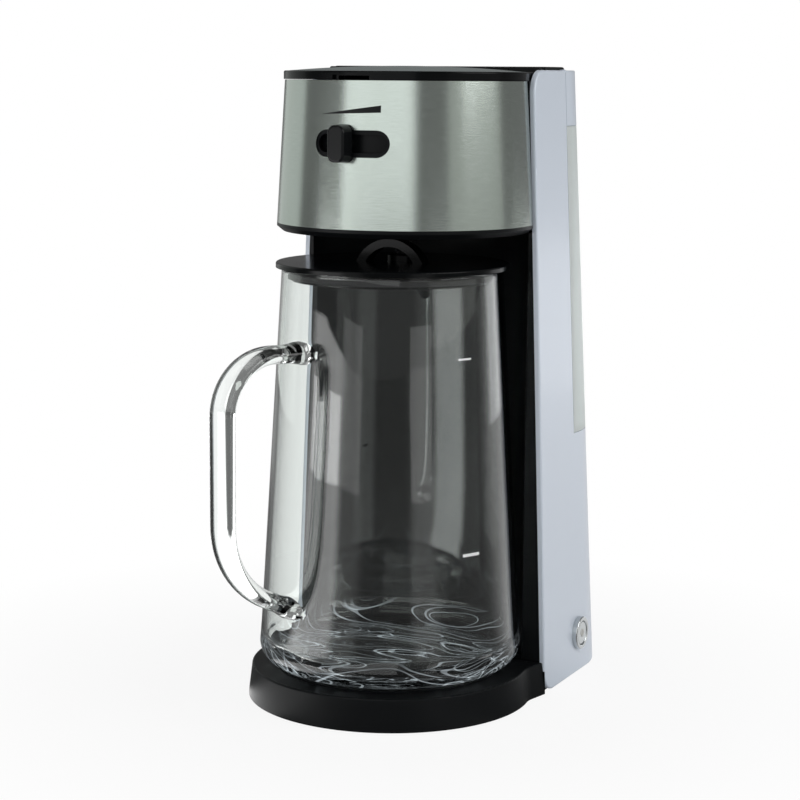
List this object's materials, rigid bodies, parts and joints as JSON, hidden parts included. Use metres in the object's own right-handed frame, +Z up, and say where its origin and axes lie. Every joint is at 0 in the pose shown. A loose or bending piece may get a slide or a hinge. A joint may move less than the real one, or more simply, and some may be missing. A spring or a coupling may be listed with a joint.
{
  "type": "iced tea maker",
  "caption": "Countertop iced tea maker: steel-wrapped brew head with hinged lid and sliding strength selector over a lidded glass jug, lift-out rear water tank, side power button.",
  "frame": {"origin": "axis of the round brew head where it meets the bench plane", "axes": "+Z up, +X towards the side with the power button, -Y towards the jug and the user"},
  "size_m": [0.1613, 0.2571, 0.3414],
  "materials": {
    "black_body": "semi-gloss black plastic",
    "black_lid": "gloss black plastic",
    "smoked_dome": "gloss smoke-grey plastic",
    "silver_paint": "satin silver-blue paint",
    "steel": "horizontally brushed",
    "trim_chrome": "satin chrome",
    "lens": "translucent lens",
    "knob": "gloss black",
    "clear_tank": "frosted clear plastic",
    "glass": "clear blown glass",
    "inner_plastic": "moulded black",
    "mesh": "fine woven mesh",
    "screw_steel": "zinc plated",
    "silicone": "translucent silicone",
    "rubber": "matt black",
    "cast_heater": "as cast",
    "copper_tube": "drawn tube"
  },
  "bodies": {
    "machine": {"base_shell": "black_body", "base_plate": "inner_plastic", "base_screws": "screw_steel", "rubber_feet": "rubber", "column_housing": "black_body", "side_panel_left": "silver_paint", "side_panel_right": "silver_paint", "rear_cover": "black_body", "rear_screws": "screw_steel", "cord_gland": "black_body", "tank_shelf": "inner_plastic", "tank_coupling": "inner_plastic", "coupling_pin": "inner_plastic", "coupling_seal": "rubber", "check_valve": "inner_plastic", "inlet_hose": "silicone", "heater_block": "cast_heater", "heater_tube": "copper_tube", "heater_element": "copper_tube", "thermostat": "cast_heater", "thermal_fuse": "screw_steel", "heater_bracket": "screw_steel", "riser_hose": "silicone", "outlet_elbow": "inner_plastic", "head_floor": "black_body", "head_housing": "black_body", "head_trim_ring": "black_body", "steel_band": "steel", "top_cover": "black_body", "lid_hinge_pin": "screw_steel", "brew_basket": "inner_plastic", "drip_spring": "screw_steel", "filter_frame": "inner_plastic", "filter_mesh": "mesh", "button_bezel": "trim_chrome", "power_switch": "inner_plastic", "button_spring": "screw_steel"},
    "brew_lid": {"brew_lid": "black_lid", "brew_lid_dome": "smoked_dome", "shower_disc": "inner_plastic", "lid_duct": "inner_plastic"},
    "selector": {"selector_knob": "knob", "selector_carriage": "knob"},
    "power_button": {"power_button": "trim_chrome", "button_lens": "lens"},
    "drip_stop": {"drip_plunger": "inner_plastic"},
    "jug": {"jug_glass": "glass"},
    "jug_lid": {"jug_lid": "black_lid", "jug_lid_seal": "rubber"},
    "tank": {"water_tank": "clear_tank", "tank_side_rails": "clear_tank", "tank_valve_body": "inner_plastic"},
    "tank_cap": {"tank_cap": "silver_paint", "cap_side_rails": "silver_paint"},
    "tank_poppet": {"tank_poppet": "inner_plastic"}
  },
  "joints": [
    {"name": "brew_lid_hinge", "type": "hinge", "parent": "machine", "child": "brew_lid", "pos_m": [0, 0.0335, 0.3382], "axis": [-1, 0, 0], "range_deg": [0, 92]},
    {"name": "strength_selector", "type": "hinge", "parent": "machine", "child": "selector", "pos_m": [0, 0, 0.3016], "axis": [0, 0, 1], "range_deg": [-10, 16]},
    {"name": "power_button_press", "type": "slide", "parent": "machine", "child": "power_button", "axis": [-1, 0, 0], "range_m": [0, 0.002], "stiffness_N_per_m": 400, "deforming": ["button_spring"]},
    {"name": "drip_stop_lift", "type": "slide", "parent": "machine", "child": "drip_stop", "axis": [0, 0, 1], "range_m": [0, 0.0025], "stiffness_N_per_m": 150, "deforming": ["drip_spring"]},
    {"name": "jug_pull", "type": "slide", "parent": "machine", "child": "jug", "axis": [0, -1, 0], "range_m": [0, 0.17]},
    {"name": "jug_lid_turn", "type": "hinge", "parent": "jug", "child": "jug_lid", "pos_m": [0, -0.0161, 0.236], "axis": [0, 0, 1], "range_deg": [0, 45]},
    {"name": "tank_lift", "type": "slide", "parent": "machine", "child": "tank", "axis": [0, 0, 1], "range_m": [0, 0.2]},
    {"name": "tank_cap_lift", "type": "slide", "parent": "tank", "child": "tank_cap", "axis": [0, 0, 1], "range_m": [0, 0.06]},
    {"name": "tank_valve_lift", "type": "slide", "parent": "tank", "child": "tank_poppet", "axis": [0, 0, 1], "range_m": [0, 0.003]}
  ]
}
